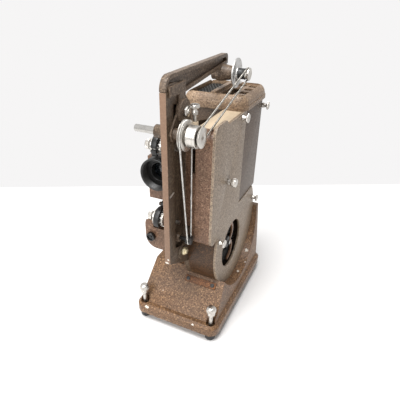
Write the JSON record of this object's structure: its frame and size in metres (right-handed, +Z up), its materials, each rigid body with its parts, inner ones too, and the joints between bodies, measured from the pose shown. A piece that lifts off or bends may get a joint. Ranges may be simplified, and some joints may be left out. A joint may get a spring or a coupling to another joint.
{
  "type": "movie projector",
  "caption": "Compact cine film projector on a cast cradle base, with a drum motor, lamphouse, folding spool arm and round spring belts.",
  "frame": {"origin": "on the floor under the middle of the object's box", "axes": "+Z up, -Y the way the lens points, +X the cover and belt side, -X the film side"},
  "size_m": [0.13, 0.226, 0.3525],
  "materials": {
    "hammered_enamel": "hammered bronze-brown enamel",
    "cover_enamel": "hammered enamel, paler and worn",
    "lamphouse_enamel": "hammered enamel, darker",
    "nickel": "nickel-plated and polished",
    "steel": "ground steel",
    "black_paint": "satin black",
    "bakelite": "black moulded plastic",
    "rubber": "matt",
    "brass": "dull",
    "red_strip": "reddish brown",
    "spring_steel": "wound wire",
    "lamp_glass": "clear",
    "lens_glass": "coated"
  },
  "bodies": {
    "chassis": {"base_casting": "hammered_enamel", "rear_feet": "rubber", "clamp_strip": "red_strip", "strip_screws": "black_paint", "power_inlet": "bakelite", "motor_drum": "hammered_enamel", "main_plate": "hammered_enamel", "shaft_nut": "brass", "gear_case": "hammered_enamel", "side_cover": "cover_enamel", "lamphouse": "lamphouse_enamel", "lamphouse_cap": "cover_enamel", "cap_grille": "black_paint", "cap_knob": "nickel", "lamp_socket": "bakelite", "lamp_bulb": "lamp_glass", "lamp_reflector": "nickel", "condenser_tube": "hammered_enamel", "condenser_lens": "lens_glass", "motor": "black_paint", "lower_belt": "spring_steel", "lens_mount": "hammered_enamel", "film_gate": "steel", "upper_guide": "black_paint", "lower_housing": "hammered_enamel"},
    "foot_left": {"foot_screw_left": "nickel", "foot_pad_left": "rubber"},
    "foot_right": {"foot_screw_right": "nickel", "foot_pad_right": "rubber"},
    "motor_rotor": {"motor_shaft": "steel", "fan": "black_paint"},
    "front_drive": {"front_spindle": "steel", "belt_wheel": "nickel", "clutch_drum": "nickel", "belt_groove": "black_paint", "end_disc": "nickel"},
    "drive_wheel": {"drive_pulley": "black_paint"},
    "arm": {"spool_arm": "hammered_enamel", "arm_bolt": "nickel", "upper_belt": "spring_steel"},
    "rear_drive": {"rear_spindle": "steel", "rear_disc": "nickel", "rear_sheave": "nickel"},
    "upper_feed": {"upper_sprocket": "nickel", "upper_sprocket_knob": "nickel"},
    "upper_shoe": {"upper_keeper": "black_paint"},
    "lower_feed": {"lower_sprocket": "nickel", "lower_sprocket_knob": "nickel"},
    "lower_shoe": {"lower_keeper": "black_paint"},
    "lens": {"lens_barrel": "black_paint", "lens_hood": "black_paint", "lens_glass": "lens_glass"},
    "screw_top": {"cover_screw_top": "nickel"},
    "screw_front": {"cover_screw_front": "nickel"},
    "screw_rear": {"cover_screw_rear": "nickel"},
    "screw_lamphouse": {"lamphouse_screw": "nickel"},
    "clutch": {"clutch_knob": "nickel"},
    "framing": {"framing_screw": "nickel"},
    "switch": {"switch_knob": "bakelite"}
  },
  "joints": [
    {"name": "foot_left_height", "type": "slide", "parent": "chassis", "child": "foot_left", "axis": [0, 0, 1], "range_m": [-0.009, 0]},
    {"name": "foot_right_height", "type": "slide", "parent": "chassis", "child": "foot_right", "axis": [0, 0, 1], "range_m": [-0.009, 0]},
    {"name": "motor_spin", "type": "hinge", "parent": "chassis", "child": "motor_rotor", "pos_m": [0, 0.002, 0.1095], "axis": [1, 0, 0], "continuous": true},
    {"name": "front_spin", "type": "hinge", "parent": "chassis", "child": "front_drive", "pos_m": [0, -0.097, 0.2955], "axis": [1, 0, 0], "continuous": true},
    {"name": "drive_spin", "type": "hinge", "parent": "chassis", "child": "drive_wheel", "pos_m": [0, -0.0872, 0.1615], "axis": [1, 0, 0], "continuous": true},
    {"name": "arm_fold", "type": "hinge", "parent": "chassis", "child": "arm", "pos_m": [0, -0.097, 0.2955], "axis": [1, 0, 0], "range_deg": [0, 90]},
    {"name": "rear_spin", "type": "hinge", "parent": "arm", "child": "rear_drive", "pos_m": [0, 0.039, 0.332], "axis": [1, 0, 0], "continuous": true},
    {"name": "upper_sprocket_spin", "type": "hinge", "parent": "chassis", "child": "upper_feed", "pos_m": [0, -0.08, 0.2725], "axis": [1, 0, 0], "continuous": true},
    {"name": "lower_sprocket_spin", "type": "hinge", "parent": "chassis", "child": "lower_feed", "pos_m": [0, -0.083, 0.1805], "axis": [1, 0, 0], "continuous": true},
    {"name": "upper_keeper_open", "type": "hinge", "parent": "chassis", "child": "upper_shoe", "pos_m": [-0.021, -0.06412, 0.27828], "axis": [-1, 0, 0], "range_deg": [0, 20]},
    {"name": "lower_keeper_open", "type": "hinge", "parent": "chassis", "child": "lower_shoe", "pos_m": [-0.021, -0.07214, 0.19345], "axis": [-1, 0, 0], "range_deg": [0, 40]},
    {"name": "lens_focus", "type": "slide", "parent": "chassis", "child": "lens", "axis": [0, 1, 0], "range_m": [-0.008, 0]},
    {"name": "cover_screw_top_turn", "type": "hinge", "parent": "chassis", "child": "screw_top", "pos_m": [0.05, 0.006, 0.2895], "axis": [1, 0, 0], "range_deg": [0, 360]},
    {"name": "cover_screw_front_turn", "type": "hinge", "parent": "chassis", "child": "screw_front", "pos_m": [0.05, -0.0485, 0.141], "axis": [1, 0, 0], "range_deg": [0, 360]},
    {"name": "cover_screw_rear_turn", "type": "hinge", "parent": "chassis", "child": "screw_rear", "pos_m": [0.05, 0.0895, 0.143], "axis": [1, 0, 0], "range_deg": [0, 360]},
    {"name": "lamphouse_screw_turn", "type": "hinge", "parent": "chassis", "child": "screw_lamphouse", "pos_m": [0.05, 0.094, 0.2835], "axis": [1, 0, 0], "range_deg": [0, 360]},
    {"name": "clutch_knob_turn", "type": "hinge", "parent": "chassis", "child": "clutch", "pos_m": [0.05, -0.0317, 0.2215], "axis": [1, 0, 0], "range_deg": [0, 360]},
    {"name": "framing_screw_turn", "type": "hinge", "parent": "chassis", "child": "framing", "pos_m": [0.02, -0.0749, 0.2945], "axis": [0, 0, 1], "range_deg": [0, 360]},
    {"name": "switch_turn", "type": "hinge", "parent": "chassis", "child": "switch", "pos_m": [-0.032, -0.089, 0.1535], "axis": [0, -1, 0], "range_deg": [0, 90]}
  ],
  "couplings": [
    {"joint": "drive_spin", "follows": "front_spin", "ratio": 3},
    {"joint": "rear_spin", "follows": "front_spin", "ratio": 1.087},
    {"joint": "lower_sprocket_spin", "follows": "upper_sprocket_spin", "ratio": 1}
  ]
}
